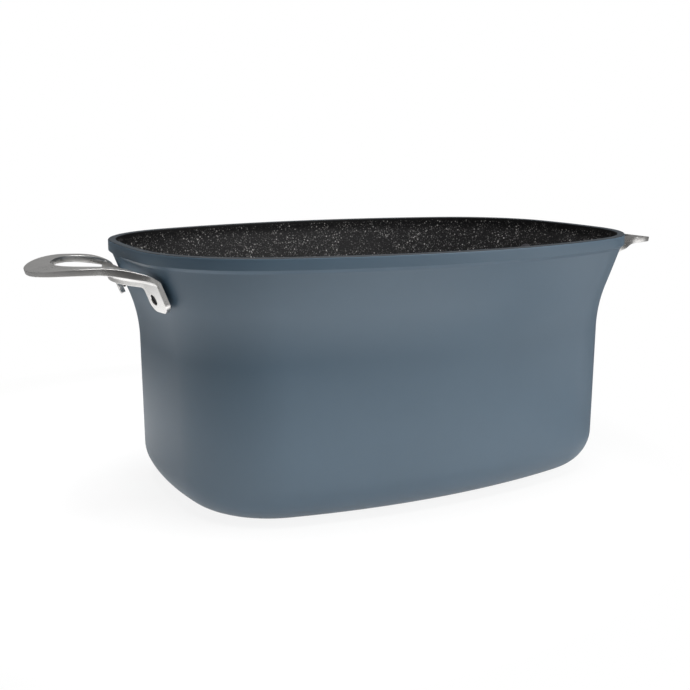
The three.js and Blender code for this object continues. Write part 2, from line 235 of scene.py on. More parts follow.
def plan_at(height):
    """Radii, centres and joining angles of the plan at a height."""
    share = clamp((BAND_FOOT - height) / (BAND_FOOT - FLARE_FOOT))
    end_bow = mix(RIM_END_BOW, WALL_END_BOW, share)
    side_bow = mix(RIM_SIDE_BOW, WALL_SIDE_BOW, share)
    corner = mix(RIM_CORNER, WALL_CORNER, share)
    end_centre = Vector((RIM_LENGTH / 2 - end_bow, 0))
    side_centre = Vector((0, RIM_WIDTH / 2 - side_bow))
    across = side_centre - end_centre
    apart = across.length
    along = ((end_bow - corner) ** 2 - (side_bow - corner) ** 2 + apart**2) / (2 * apart)
    off = math.sqrt((end_bow - corner) ** 2 - along**2)
    unit = across / apart
    centre = end_centre + unit * along + Vector((-unit.y, unit.x)) * off
    end_angle = math.atan2(centre.y, centre.x - end_centre.x)
    side_angle = math.atan2(centre.y - side_centre.y, centre.x)
    return (end_bow, side_bow, corner), (end_centre, side_centre, centre), (end_angle, side_angle)


def pot_ring(height, inset):
    """One level of the pot, anticlockwise from above."""
    (end_bow, side_bow, corner), centres, (end_angle, side_angle) = plan_at(height)
    end_centre, side_centre, centre = centres
    quarter = []
    for middle, radius, low, high, count in (
        (end_centre, end_bow, 0, end_angle, END_STEPS),
        (centre, corner, end_angle, side_angle, CORNER_STEPS),
        (side_centre, side_bow, side_angle, QUARTER, SIDE_STEPS),
    ):
        for turn in spaced(low, high, count)[bool(quarter):]:
            reach = radius - inset
            quarter.append((middle.x + reach * math.cos(turn), middle.y + reach * math.sin(turn)))
    back = quarter[-2:0:-1]
    outline = quarter + [(-x, y) for x, y in back] + [(-x, -y) for x, y in quarter]
    outline += [(x, -y) for x, y in back]
    return [(x, y, height) for x, y in outline]


def rounded_corner(before, corner, after, radius, steps=ROUNDING_STEPS):
    """The arc that rounds one corner of a profile of heights and insets."""
    before, corner, after = Vector(before), Vector(corner), Vector(after)
    back = (before - corner).normalized()
    on = (after - corner).normalized()
    half = back.angle(on) / 2
    run = min(radius / math.tan(half), (before - corner).length / 2, (after - corner).length / 2)
    reach = run * math.tan(half)
    centre = corner + (back + on).normalized() * (reach / math.sin(half))
    start = corner + back * run - centre
    sweep = start.angle_signed(corner + on * run - centre)
    arc = []
    for turn in spaced(0, -sweep, steps):
        cos, sin = math.cos(turn), math.sin(turn)
        arc.append((centre.x + start.x * cos - start.y * sin, centre.y + start.x * sin + start.y * cos))
    return arc


def outer_levels():
    """Heights and insets of the outer face, from the middle of the base up to the rim."""
    levels = []
    for turn in spaced(0, QUARTER, FILLET_STEPS):
        height = BASE_FILLET * (1 - math.cos(turn))
        levels.append((height, inset_at(height) + BASE_FILLET * (1 - math.sin(turn))))
    heights = spaced(BASE_FILLET, FLARE_FOOT, WALL_STEPS)[1:-1]
    heights += [FLARE_FOOT + FLARE_RADIUS * math.sin(turn) for turn in spaced(0, FLARE_ANGLE, FLARE_STEPS)]
    heights += spaced(CONE_FOOT, FLARE_TOP, CONE_STEPS)[1:-1]
    levels += [(height, inset_at(height)) for height in heights]
    foot, step, band, rim = levels[-1], (FLARE_TOP, BAND_STEP), (BAND_FOOT, 0), (POT_HEIGHT, 0)
    levels += rounded_corner(foot, step, band, STEP_ROUND)
    levels += rounded_corner(step, band, rim, BAND_ROUND)
    for turn in spaced(0, QUARTER, RIM_STEPS):
        height = POT_HEIGHT - RIM_ROUND * (1 - math.sin(turn))
        levels.append((height, RIM_ROUND * (1 - math.cos(turn))))
    return levels


def inner_levels():
    """Heights and insets of the inner face, from the rim down to the floor."""
    levels = []
    for turn in spaced(QUARTER, 0, RIM_STEPS):
        height = POT_HEIGHT - RIM_ROUND * (1 - math.sin(turn))
        levels.append((height, RIM_THICKNESS - RIM_ROUND * (1 - math.cos(turn))))
    lip_foot = FLARE_TOP + (BAND_STEP + WALL_THICKNESS - RIM_THICKNESS) / math.tan(FLARE_ANGLE)
    heights = spaced(lip_foot, CONE_FOOT, CONE_STEPS)[2:]
    cone_top = heights[0], inset_at(heights[0]) + WALL_THICKNESS
    levels += rounded_corner(levels[-1], (lip_foot, RIM_THICKNESS), cone_top, LIP_RADIUS, LIP_STEPS)
    turns = spaced(FLARE_ANGLE, 0, FLARE_STEPS)[1:]
    heights += [FLARE_FOOT + FLARE_RADIUS * math.sin(turn) for turn in turns]
    levels += [(height, inset_at(height) + WALL_THICKNESS) for height in heights]
    fillet = BASE_FILLET - WALL_THICKNESS
    for turn in spaced(QUARTER, 0, FILLET_STEPS):
        height = BASE_THICKNESS + fillet * (1 - math.cos(turn))
        levels.append((height, inset_at(height) + WALL_THICKNESS + fillet * (1 - math.sin(turn))))
    return levels


SEAT_HEIGHT = POT_HEIGHT - RIVET_BELOW_RIM


def seat_of_rivet():
    """The rear rivet's point on the outer wall of the +X end, and the way the wall faces there."""
    (end_bow, _, corner), (end_centre, _, centre), (end_angle, _) = plan_at(SEAT_HEIGHT)
    inset = inset_at(SEAT_HEIGHT)
    aside = RIVET_SPREAD / 2
    if aside < (end_bow - inset) * math.sin(end_angle):
        middle, radius, turn = end_centre, end_bow - inset, math.asin(aside / (end_bow - inset))
    else:
        radius = corner - inset
        middle, turn = centre, math.asin((aside - centre.y) / radius)
    level, dip = math.cos(FLARE_ANGLE), -math.sin(FLARE_ANGLE)
    seat = Vector((middle.x + radius * math.cos(turn), aside, SEAT_HEIGHT))
    return seat, Vector((math.cos(turn) * level, math.sin(turn) * level, dip))


SEAT, SEAT_NORMAL = seat_of_rivet()
SEAT_CORNER = plan_at(SEAT_HEIGHT)[0][2] - inset_at(SEAT_HEIGHT)
WALL_DEPTH = WALL_THICKNESS * math.cos(FLARE_ANGLE)


def seat_matrix(end, side):
    """Carries a shape made round the Z axis to a rivet's place on one end and side of the pot."""
    flip = Vector((end, side, 1))
    turn = Vector((0, 0, 1)).rotation_difference(SEAT_NORMAL * flip)
    return Matrix.Scale(METRE, 4) @ Matrix.Translation(SEAT * flip) @ turn.to_matrix().to_4x4()


def turned(name, profile):
    """A closed turned shape round the Z axis, from a profile of radii and heights, base to top."""
    points = [
        (radius * math.cos(turn), radius * math.sin(turn), height)
        for radius, height in profile
        for turn in spaced(0, FULL_TURN, TURNED_SIDES)[:-1]
    ]
    return mesh_of(name, points, loft_faces(len(profile), TURNED_SIDES), 1)


def bore(end, side):
    """The cutter of one rivet's hole in the wall."""
    reach = WALL_DEPTH + STAND_OFF
    mesh = turned("bore", [(RIVET_HOLE / 2, -reach), (RIVET_HOLE / 2, reach)])
    mesh.transform(seat_matrix(end, side))
    return object_of("bore", mesh)


def pot_body():
    """The shell, up its outer face and down its inner one, with each face marked with its finish."""
    outer, inner = outer_levels(), inner_levels()
    rings = [pot_ring(height, inset) for height, inset in outer + inner]
    around = len(rings[0])
    points = [point for ring in rings for point in ring]
    mesh = mesh_of("pot_body_shell", points, loft_faces(len(rings), around))
    for polygon in mesh.polygons:
        level = (polygon.index - 1) // around
        if level < len(outer) - BARE_OUTSIDE:
            polygon.material_index = PAINTED
        else:
            polygon.material_index = BARE if level < len(outer) + BARE_INSIDE else COATED
    return object_of("pot_body_shell", mesh)


# ---- Handles

LEG_ANGLE = math.atan2(SEAT_NORMAL.x, -SEAT_NORMAL.z)
LEG_LENGTH = FOOT_BELOW_RIVET + HEEL_ABOVE_RIVET
ANCHOR = SEAT + SEAT_NORMAL * STAND_OFF
TILT = SEAT_NORMAL.y / SEAT_NORMAL.x
LEG_INNER = RIVET_SPREAD / 2 - RIVET_TO_LEG_GAP
LEG_OUTER = LEG_INNER + LEG_WIDTH
LOOP_SIDE = LEG_OUTER - LOOP_DRAWN_IN
HOLE_SIDE = LEG_INNER - HOLE_DRAWN_IN


def sagitta(across):
    """How far the web's bow falls back from its middle at a distance across."""
    return WEB_BOW - math.sqrt(WEB_BOW**2 - across**2)


def along_arc(arc, run):
    """Place and heading at a run along an arc; an arc without a bend is straight."""
    x, z, start_angle, bend = arc["x"], arc["z"], arc["angle"], arc["bend"]
    angle = start_angle - run * bend
    if bend == 0:
        return x + run * math.cos(angle), z + run * math.sin(angle), angle
    x += (math.sin(start_angle) - math.sin(angle)) / bend
    z += (math.cos(angle) - math.cos(start_angle)) / bend
    return x, z, angle


def handle_spine():
    """Side view of the handle's upper face, a chain of arcs from the foot to the nose."""
    heel_turn = LEG_ANGLE - ROOT_TURN - ARCH_TURN
    x = ANCHOR.x - FOOT_BELOW_RIVET * math.cos(LEG_ANGLE)
    z = ANCHOR.z - FOOT_BELOW_RIVET * math.sin(LEG_ANGLE)
    angle, start, spine = LEG_ANGLE, 0, []
    for length, bend in (
        (LEG_LENGTH, 0),
        (HEEL_RADIUS * heel_turn, 1 / HEEL_RADIUS),
        (ROOT_RADIUS * ROOT_TURN, 1 / ROOT_RADIUS),
        (ARCH_RADIUS * ARCH_TURN, 1 / ARCH_RADIUS),
        (NOSE_LENGTH, 1 / NOSE_RADIUS),
    ):
        spine.append({"start": start, "bend": bend, "x": x, "z": z, "angle": angle})
        x, z, angle = along_arc(spine[-1], length)
        start += length
    return spine


SPINE = handle_spine()
HEEL_RUN, ROOT_RUN, ARCH_RUN, NOSE_RUN = [arc["start"] for arc in SPINE[1:]]
NOSE_END = NOSE_RUN + NOSE_LENGTH
SHOULDER = ROOT_RUN + SHOULDER_START
LOOP_CENTRE = NOSE_END - LOOP_END_LENGTH
HOLE_CENTRE = NOSE_END - TIP_WIDTH - HOLE_END_LENGTH


def spine_at(run):
    arc = next((each for each in reversed(SPINE) if each["start"] <= run), SPINE[0])
    return along_arc(arc, run - arc["start"])


def thickness_at(run):
    if run < ARCH_RUN:
        return mix(LEG_THICKNESS, ROOT_THICKNESS, ease(clamp((run - ROOT_RUN) / (ARCH_RUN - ROOT_RUN))))
    share = clamp((run - ARCH_RUN) / (NOSE_END - ARCH_RUN))
    return mix(ROOT_THICKNESS, TIP_THICKNESS, share**TAPER_POWER)


def stands_back(across):
    """How far the plate stands back from the line of the rivets: straight at a leg, bowed at the web."""
    aside = abs(across)
    bow = sagitta(LEG_INNER) - sagitta(min(aside, LEG_INNER))
    return TILT * (max(aside, LEG_INNER) - ANCHOR.y) - bow


def bent(run, across, depth):
    """Place of a point of the flat pattern: along it, across it, and down into the plate."""
    x, z, angle = spine_at(run)
    lean = 1 - ease(clamp((run - ROOT_RUN) / (ARCH_RUN - ROOT_RUN)))
    around = [stands_back(abs(across) + shift) for shift in spaced(-WEB_BLEND, WEB_BLEND, steps=8)]
    back = lean * sum(around) / len(around)
    return x + depth * math.sin(angle) - back, across, z - depth * math.cos(angle)


def outer_edge(run):
    return run, mix(LEG_OUTER, LOOP_SIDE, ease(clamp((run - SHOULDER) / (LOOP_CENTRE - SHOULDER))))


def hole_edge(run):
    return run, mix(LEG_INNER, HOLE_SIDE, ease(clamp((run - SHOULDER) / (HOLE_CENTRE - SHOULDER))))


def arc_points(run, across, along, aside, low, high, steps):
    """An elliptic arc about a centre; its angle is 0 across the handle and a quarter turn along it."""
    turns = spaced(low, high, steps)
    return [(run + along * math.sin(turn), across + aside * math.cos(turn)) for turn in turns]


def mirrored(half):
    """A closed outline from its half, whose ends lie on the handle's middle line."""
    return half + [(run, -across) for run, across in half[-2:0:-1]]


def plate_outline():
    """Outer outline: along the web's lower edge, round the foot of a leg, and up the loop to its nose."""
    low, foot = HEEL_RUN - WEB_DROP, FOOT_ROUND
    half = [(low, across) for across in spaced(0, LEG_INNER - WEB_FOOT_FILLET, steps=36)[:-1]]
    fillet = low - WEB_FOOT_FILLET, LEG_INNER - WEB_FOOT_FILLET
    half += arc_points(*fillet, WEB_FOOT_FILLET, WEB_FOOT_FILLET, QUARTER, 0, steps=8)
    half += [(run, LEG_INNER) for run in spaced(low - WEB_FOOT_FILLET, foot, steps=8)[1:-1]]
    half += arc_points(foot, LEG_INNER + foot, foot, foot, -2 * QUARTER, -QUARTER, steps=14)
    half += [(0, across) for across in spaced(LEG_INNER + foot, LEG_OUTER - foot, steps=8)[1:-1]]
    half += arc_points(foot, LEG_OUTER - foot, foot, foot, -QUARTER, 0, steps=14)
    half += [outer_edge(run) for run in spaced(foot, LOOP_CENTRE, steps=56)[1:-1]]
    half += arc_points(LOOP_CENTRE, 0, LOOP_END_LENGTH, LOOP_SIDE, 0, QUARTER, steps=64)
    return mirrored(half)[::-1]


def finger_hole():
    """Outline of the finger hole: along the web's bowed upper edge, up the loop, and round its end."""
    foot, flat = ROOT_RUN + WEB_RISE, LEG_INNER - HOLE_FILLET
    half = [(foot - sagitta(across), across) for across in spaced(0, flat, steps=34)[:-1]]
    for turn in spaced(0, QUARTER, steps=10):
        across = flat + HOLE_FILLET * math.sin(turn)
        run = foot - sagitta(across) + HOLE_FILLET * (1 - math.cos(turn))
        half.append((run, min(across, hole_edge(run)[1])))
    half += [hole_edge(run) for run in spaced(half[-1][0], HOLE_CENTRE, steps=28)[1:-1]]
    half += arc_points(HOLE_CENTRE, 0, HOLE_END_LENGTH, HOLE_SIDE, 0, QUARTER, steps=48)
    return mirrored(half)


def rivet_hole(side):
    """Outline of a leg's rivet hole, which is round in the leg's own plane."""
    level = SEAT_NORMAL.cross(Vector((0, 0, 1))).normalized()
    rise = level.cross(SEAT_NORMAL)
    outline = []
    for turn in spaced(0, FULL_TURN, steps=56)[:-1]:
        point = ANCHOR + (level * math.cos(turn) + rise * math.sin(turn)) * (RIVET_HOLE / 2)
        outline.append((FOOT_BELOW_RIVET + (point.z - ANCHOR.z) / math.sin(LEG_ANGLE), side * point.y))
    around = sum(here[0] * there[1] - there[0] * here[1] for here, there in zip(outline, outline[1:]))
    return outline if around < 0 else outline[::-1]


def into_plate(outline, distance):
    """An outline moved to its left, which is where the metal lies."""
    moved = []
    for index, (run, across) in enumerate(outline):
        before, after = outline[index - 1], outline[(index + 1) % len(outline)]
        along = Vector((after[0] - before[0], after[1] - before[1])).normalized()
        moved.append((run - along.y * distance, across + along.x * distance))
    return moved


def encloses(outline, points):
    """Which points lie inside an outline."""
    inside = np.zeros(len(points), dtype=bool)
    run, across = points[:, 0], points[:, 1]
    for here, there in zip(outline, outline[1:] + outline[:1]):
        if here[1] != there[1]:
            crossed = (here[1] > across) != (there[1] > across)
            inside ^= crossed & (run < mix(here[0], there[0], (across - here[1]) / (there[1] - here[1])))
    return inside


def in_metal(outlines, points):
    """Which points lie inside the first outline and outside the others, which are holes."""
    kept = encloses(outlines[0], points)
    for hole in outlines[1:]:
        kept &= ~encloses(hole, points)
    return kept


def edge_rings():
    """Distance into the plate, and depth from its upper (0) or lower (1) face, down a rounded edge."""
    rings = []
    for radius, face in ((UPPER_ROUND, 0), (LOWER_ROUND, 1)):
        half = [(max(UPPER_ROUND, LOWER_ROUND) + FLAT_MARGIN, 0, face)]
        for turn in spaced(0, QUARTER, steps=5):
            half.append((radius * (1 - math.sin(turn)), radius * (1 - math.cos(turn)), face))
        rings += half[::-1] if face else half
    return rings


def plate_grid(outlines):
    """Points of the flat pattern between its outlines, closer where the plate is bent most."""
    runs = [*np.arange(GRID_SPACING, HEEL_RUN, GRID_SPACING), *np.arange(HEEL_RUN, ROOT_RUN, HEEL_SPACING)]
    runs += [*np.arange(ROOT_RUN, NOSE_END, GRID_SPACING)]
    reach = math.ceil(LEG_OUTER / GRID_SPACING) * GRID_SPACING
    rows = np.arange(-reach, reach + GRID_SPACING, GRID_SPACING)
    points = np.array([(run, across) for run in runs for across in rows])
    points = points[in_metal(outlines, points)]
    edges = np.array([point for outline in outlines for point in outline])
    apart = np.hypot(*(points[:, None, :] - edges[None, :, :]).transpose(2, 0, 1))
    return points[apart.min(axis=1) > GRID_CLEARANCE].tolist()


def pattern_triangles(borders, between):
    """Triangles of the metal of the flat pattern, over the borders' points and those between them."""
    flat, edges = [], []
    for border in borders:
        first, count = len(flat), len(border)
        edges += [(first + index, first + (index + 1) % count) for index in range(count)]
        flat += border
    flat += between
    made = delaunay_2d_cdt([Vector(point) for point in flat], edges, [], 0, 1e-5)
    origin = [sources[0] for sources in made[3]]
    triangles = [[origin[corner] for corner in triangle] for triangle in made[2]]
    middles = np.array([np.mean([flat[corner] for corner in triangle], axis=0) for triangle in triangles])
    return np.array(triangles)[in_metal(borders, middles)]


def handle_casting():
    """The +X handle in millimetres: one bent plate with a finger hole, a web and two drilled legs."""
    rings = edge_rings()
    # A rivet's hole drifts across the plate by this much for each millimetre of depth
    lean = SEAT_NORMAL.y * math.hypot(SEAT_NORMAL.x, SEAT_NORMAL.z)
    outlines = [(plate_outline(), 0), (finger_hole(), 0), (rivet_hole(-1), -lean), (rivet_hole(1), lean)]
    points, faces, borders, upper_ids, lower_ids = [], [], [], [], []
    for outline, drift in outlines:
        first, count = len(points), len(outline)
        for inward, depth, face in rings:
            for run, across in into_plate(outline, inward):
                down = thickness_at(run) - depth if face else depth
                points.append(bent(run, across + drift * down, down))
        for ring in range(len(rings) - 1):
            start = first + ring * count
            for index in range(count):
                here, following = start + index, start + (index + 1) % count
                faces.append((here, following, following + count, here + count))
        borders.append(into_plate(outline, rings[0][0]))
        upper_ids += range(first, first + count)
        lower_ids += range(first + (len(rings) - 1) * count, first + len(rings) * count)
    between = plate_grid(borders)
    for ids, face in ((upper_ids, 0), (lower_ids, 1)):
        ids += range(len(points), len(points) + len(between))
        points += [bent(run, across, thickness_at(run) * face) for run, across in between]
    for triangle in pattern_triangles(borders, between):
        faces.append([upper_ids[corner] for corner in triangle])
        faces.append([lower_ids[corner] for corner in triangle])
    mesh = mesh_of("handle_casting", points, faces, 1)
    shape = bmesh.new()
    shape.from_mesh(mesh)
    bmesh.ops.recalc_face_normals(shape, faces=shape.faces)
    shape.to_mesh(mesh)
    shape.free()
    smooth_shaded(mesh)
    return mesh


def handle(name, shape, end):
    """The casting at one end of the pot; the other end's is the same one turned round."""
    mesh = shape.copy()
    mesh.name = name
    mesh.transform(Matrix.Rotation(0 if end > 0 else 2 * QUARTER, 4, "Z") @ Matrix.Scale(METRE, 4))
    return object_of(name, mesh)


# ---- Rivets and spacers


def rivet_profile():
    """Radii and heights of a rivet: a low domed head inside the pot, a shank, and a softened end."""
    shank = RIVET_HOLE / 2 - FIT_GAP
    head = RIVET_HEAD_WIDTH / 2
    under = -WALL_DEPTH - FIT_GAP - head**2 / (2 * SEAT_CORNER)
    end = STAND_OFF + LEG_THICKNESS - RIVET_RECESS
    dome_height = RIVET_HEAD_HEIGHT - RIVET_HEAD_EDGE
    dome_radius = (head**2 + dome_height**2) / (2 * dome_height)
    dome_centre = under - RIVET_HEAD_HEIGHT + dome_radius
    profile = [
        (dome_radius * math.sin(turn), dome_centre - dome_radius * math.cos(turn))
        for turn in spaced(0, math.asin(head / dome_radius), steps=10)[1:]
    ]
    profile += [(head, under), (shank, under), (shank, end - RIVET_END_ROUND)]
    for turn in spaced(0, QUARTER, ROUNDING_STEPS)[1:]:
        drawn = RIVET_END_ROUND * (1 - math.cos(turn))
        profile.append((shank - drawn, end - RIVET_END_ROUND * (1 - math.sin(turn))))
    return profile


def rounded_section(width, depth, radius):
    """A rectangle with rounded corners, from its lower inner one."""
    corners = (
        (radius, radius, 2),
        (width - radius, radius, 3),
        (width - radius, depth - radius, 0),
        (radius, depth - radius, 1),
    )
    return [
        (across + radius * math.cos(turn), down + radius * math.sin(turn))
        for across, down, quarters in corners
        for turn in spaced(quarters * QUARTER, (quarters + 1) * QUARTER, ROUNDING_STEPS)
    ]


def spacer_mesh(name):
    """A ring with softened edges, in the space between the wall and the leg."""
    width = (SPACER_WIDTH - RIVET_HOLE) / 2
    height = STAND_OFF - 2 * FIT_GAP
    section = rounded_section(width, height, SPACER_ROUND)
    points, faces = [], []
    for turn in spaced(0, FULL_TURN, TURNED_SIDES)[:-1]:
        for out, up in section:
            radius = RIVET_HOLE / 2 + out
            points.append((radius * math.cos(turn), radius * math.sin(turn), FIT_GAP + up))
    count = len(section)
    for side in range(TURNED_SIDES):
        here, there = side * count, (side + 1) % TURNED_SIDES * count
        for index in range(count):
            following = (index + 1) % count
            faces.append((here + index, there + index, there + following, here + following))
    return mesh_of(name, points, faces, 1)


# ---- Finishes


class Field:
    """A shader socket, so that shader maths is written as expressions."""

    def __init__(self, finish, socket):
        self.finish = finish
        self.socket = socket

    def math(self, operation, *terms):
        inputs = dict(enumerate(terms))
        return self.finish.node("ShaderNodeMath", {"operation": operation}, inputs)

    def __add__(self, other):
        return self.math("ADD", self, other)

    def __rsub__(self, other):
        return self.math("SUBTRACT", other, self)

    def __mul__(self, other):
        return self.math("MULTIPLY", self, other)

    def step(self, low, high):
        """0 below low, 1 above high, and an even ramp between them; low may be the higher one."""
        inputs = {"Value": self, "From Min": low, "From Max": high}
        return self.finish.node("ShaderNodeMapRange", {"clamp": True}, inputs, "Result")

    __radd__ = __add__
    __rmul__ = __mul__


class Finish:
    """A node material, and the one way in which its nodes are made."""

    def __init__(self, name, **fixed):
        self.material = bpy.data.materials.new(name)
        self.material.use_nodes = True
        self.tree = self.material.node_tree
        self.surface = self.tree.nodes["Principled BSDF"]
        for socket, value in fixed.items():
            self.surface.inputs[socket.replace("_", " ")].default_value = value
        self.place = self.node("ShaderNodeTexCoord", {}, {}, "Object")

    def node(self, kind, settings, inputs, output=0):
        made = self.tree.nodes.new(kind)
        for key, value in settings.items():
            setattr(made, key, value)
        for key, value in inputs.items():
            if isinstance(value, Field):
                self.tree.links.new(value.socket, made.inputs[key])
            else:
                made.inputs[key].default_value = value
        return Field(self, made.outputs[output])

    def noise(self, size, detail=2, place=None):
        """Cloudy values about 0.5, with patches of about this size in millimetres."""
        inputs = {"Vector": place or self.place, "Scale": 1 / (size * METRE), "Detail": detail}
        return self.node("ShaderNodeTexNoise", {}, inputs, "Fac")

    def blend(self, share, low, high):
        """A colour from low to high; each is a colour or a link."""
        rgb = {"data_type": "RGBA"}
        return self.node("ShaderNodeMix", rgb, {0: share, 6: low, 7: high}, 2)

    def bump(self, height, distance):
        """A surface raised by up to this distance in millimetres."""
        inputs = {"Height": height, "Distance": distance * METRE, "Strength": 1}
        return self.node("ShaderNodeBump", {}, inputs, "Normal")

    def set(self, **inputs):
        """Links fields to the surface's sockets."""
        for socket, value in inputs.items():
            self.tree.links.new(value.socket, self.surface.inputs[socket.replace("_", " ")])


def slate_paint():
    """Satin slate blue enamel with a trace of orange peel."""
    paint = Finish("slate_paint", Metallic=0, IOR=1.65)
    cloud = paint.noise(60, 3)
    peel = paint.noise(1.1, 2)
    grain = paint.noise(0.25, 1)
    shade = paint.blend(cloud.step(0.3, 0.7), (0.055, 0.099, 0.143, 1), (0.061, 0.107, 0.153, 1))
    paint.set(
        Base_Color=shade,
        Roughness=0.44 + 0.05 * cloud + 0.05 * grain,
        Normal=paint.bump(0.7 * peel + 0.3 * grain, 0.02),
    )
    return paint.material


# Specks of the inner coating: how far apart in millimetres, how wide as a share of that, and how pale
SPECKS = (1.5, 0.34, 1.0), (2.4, 0.28, 1.2), (0.8, 0.40, 0.6)
# Depths under the top of the rim at which they begin and have set in
SPECKS_FROM = 1.4
SPECKS_FULL = 2.6


def speckled_coat():
    """Black non-stick coating with fine pale specks of many sizes, in drifts, and none on the lip."""
    coat = Finish("speckled_coat", Metallic=0, IOR=1.22)
    height = coat.node("ShaderNodeSeparateXYZ", {}, {0: coat.place}, "Z")
    below_lip = height.step((POT_HEIGHT - SPECKS_FROM) * METRE, (POT_HEIGHT - SPECKS_FULL) * METRE)
    specks = None
    for size, width, level in SPECKS:
        cells = {"Vector": coat.place, "Scale": 1 / (size * METRE), "Randomness": 1}
        gap = coat.node("ShaderNodeTexVoronoi", {}, cells, "Distance")
        own = coat.node("ShaderNodeTexVoronoi", {}, cells, "Color")
        chance = coat.node("ShaderNodeSeparateColor", {}, {0: own}, 0)
        bright = coat.node("ShaderNodeSeparateColor", {}, {0: own}, 1)
        dot = gap.step(width, 0.6 * width) * chance.step(0.35, 0.8) * bright * level
        specks = dot if specks is None else specks + dot
    drift = coat.noise(16, 3).step(0.40, 0.62)
    share = specks * below_lip * (0.35 + 0.65 * drift)
    grain = coat.noise(0.3, 2)
    coat.set(
        Base_Color=coat.blend(share.step(0, 1), (0.005, 0.005, 0.0054, 1), (0.36, 0.35, 0.34, 1)),
        Roughness=0.46 + 0.1 * grain,
        Normal=coat.bump(grain + 0.5 * share, 0.015),
    )
    return coat.material


def rim_metal():
    """The top of the rim, where the two coatings end: a dark, matte edge."""
    metal = Finish("rim_metal", Metallic=0, Specular_IOR_Level=0.15)
    cloud = metal.noise(5, 3)
    grain = metal.noise(0.2, 1)
    metal.set(
        Base_Color=metal.blend(cloud, (0.016, 0.020, 0.024, 1), (0.026, 0.031, 0.036, 1)),
        Roughness=0.6 + 0.15 * grain,
        Normal=metal.bump(grain, 0.01),
    )
    return metal.material


def cast_steel():
    """Satin cast steel: fine streaks in its gloss over the soft unevenness of the casting."""
    steel = Finish("cast_steel", Metallic=1)
    streaks = {0: steel.place, 1: (0.3, 1, 1)}
    stretched = steel.node("ShaderNodeVectorMath", {"operation": "MULTIPLY"}, streaks)
    lapping = steel.noise(0.35, 3, stretched)
    casting = steel.noise(4, 2)
    cloud = steel.noise(18, 3)
    steel.set(
        Base_Color=steel.blend(cloud, (0.62, 0.61, 0.595, 1), (0.69, 0.68, 0.665, 1)),
        Roughness=0.23 + 0.05 * lapping + 0.05 * cloud,
        Normal=steel.bump(casting, 0.02),
    )
    return steel.material


def dark_rivet_metal():
    """Darkened rivet steel, paler where the head is worn."""
    metal = Finish("dark_rivet_metal", Metallic=0.8)
    grain = metal.noise(0.4, 3)
    cloud = metal.noise(3, 2)
    metal.set(
        Base_Color=metal.blend(cloud, (0.022, 0.022, 0.025, 1), (0.045, 0.045, 0.05, 1)),
        Roughness=0.5 + 0.18 * grain,
        Normal=metal.bump(grain, 0.02),
    )
    return metal.material


def spacer_metal():
    """Blackened spacer ring with a fine turned grain."""
    metal = Finish("spacer_metal", Metallic=0.5)
    grain = metal.noise(0.3, 3)
    metal.set(
        Base_Color=metal.blend(grain, (0.018, 0.018, 0.020, 1), (0.045, 0.045, 0.05, 1)),
        Roughness=0.4 + 0.2 * grain,
        Normal=metal.bump(grain, 0.015),
    )
    return metal.material


# ---- Pieces

SLATE, SPECKLED, RIM = slate_paint(), speckled_coat(), rim_metal()
STEEL, RIVET, SPACER = cast_steel(), dark_rivet_metal(), spacer_metal()


def stand_for(piece, node, material=None):
    """Puts a piece in the place of its CAD node."""
    if material:
        piece.data.materials.append(material)
    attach(piece, "root")
    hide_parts(node)


body = pot_body()
for material in (SLATE, SPECKLED, RIM):
    body.data.materials.append(material)
for end in (-1, 1):
    for side in (-1, 1):
        cut_out(body, bore(end, side))
smooth_shaded(body.data)
stand_for(body, "pot_body")

casting = handle_casting()
for end_name, end in (("left", -1), ("right", 1)):
    grip = handle(f"{end_name}_handle_casting", casting, end)
    stand_for(grip, f"{end_name}_handle", STEEL)
    for side_name, side in (("front", -1), ("rear", 1)):
        place = f"{end_name}_{side_name}"
        rivet = turned(f"{place}_rivet_turned", rivet_profile())
        rivet.transform(seat_matrix(end, side))
        smooth_shaded(rivet)
        stand_for(object_of(rivet.name, rivet), f"{place}_rivet", RIVET)
        spacer = spacer_mesh(f"{place}_spacer_ring")
        spacer.transform(seat_matrix(end, side))
        smooth_shaded(spacer)
        stand_for(object_of(spacer.name, spacer), f"{place}_spacer", SPACER)
bpy.data.meshes.remove(casting)


# ---- Studio

# The floor's pale patches, painted light that the paint and the steel mirror and are lit by, in metres: each
# has a middle, the distance at which it has faded out, and the distance within which it is full
REAR_LIGHT_PATCH = (-0.1, 0.06, 0), 0.34, 0.22
FRONT_LIGHT_PATCH = (-0.04, -0.15, 0), 0.26, 0.16
# A pale field of painted light to the front right, from where it begins to where it is full, along +X and
# along Y
LIGHT_FIELD_ASIDE = 0.18, 0.35
LIGHT_FIELD_AHEAD = 0, -0.25
# The grey round them, painted shade that the paint and the steel mirror and are lit by, is a little paler at
# the left
SHADE_GREY_LEFT = -0.05, -0.25
DARK_SHADE_GREY = (0.12, 0.12, 0.12, 1)
SHADE_GREY = (0.15, 0.15, 0.15, 1)
PALE = (0.92, 0.92, 0.92, 1)
WHITE = (1, 1, 1, 1)
# An ellipse round the pot's foot, where a painted glow hides the contact shadow in reflections, as the scale
# that makes it a circle, and that circle's fading edge
FOOT_GLOW_SCALE = (6.1, 8.8, 0)
FOOT_GLOW_EDGE = 1.3, 1
# How much of the floor's own shade the camera sees on the rear patch, and how white a mirroring face
# finds the floor elsewhere, on the rear patch on top of that, and at the pot's foot on top of that; the
# extra white on the rear patch and at the foot is a painted glow, which at the foot hides the contact shadow
# in reflections
SHADE_SEEN = 0.12
MIRRORED_WHITE = 0.1
MIRRORED_REAR_GLOW = 0.15
MIRRORED_FOOT_GLOW = 0.65
FLOOR_REACH = 20000

WORLD_LIGHT = 0.08

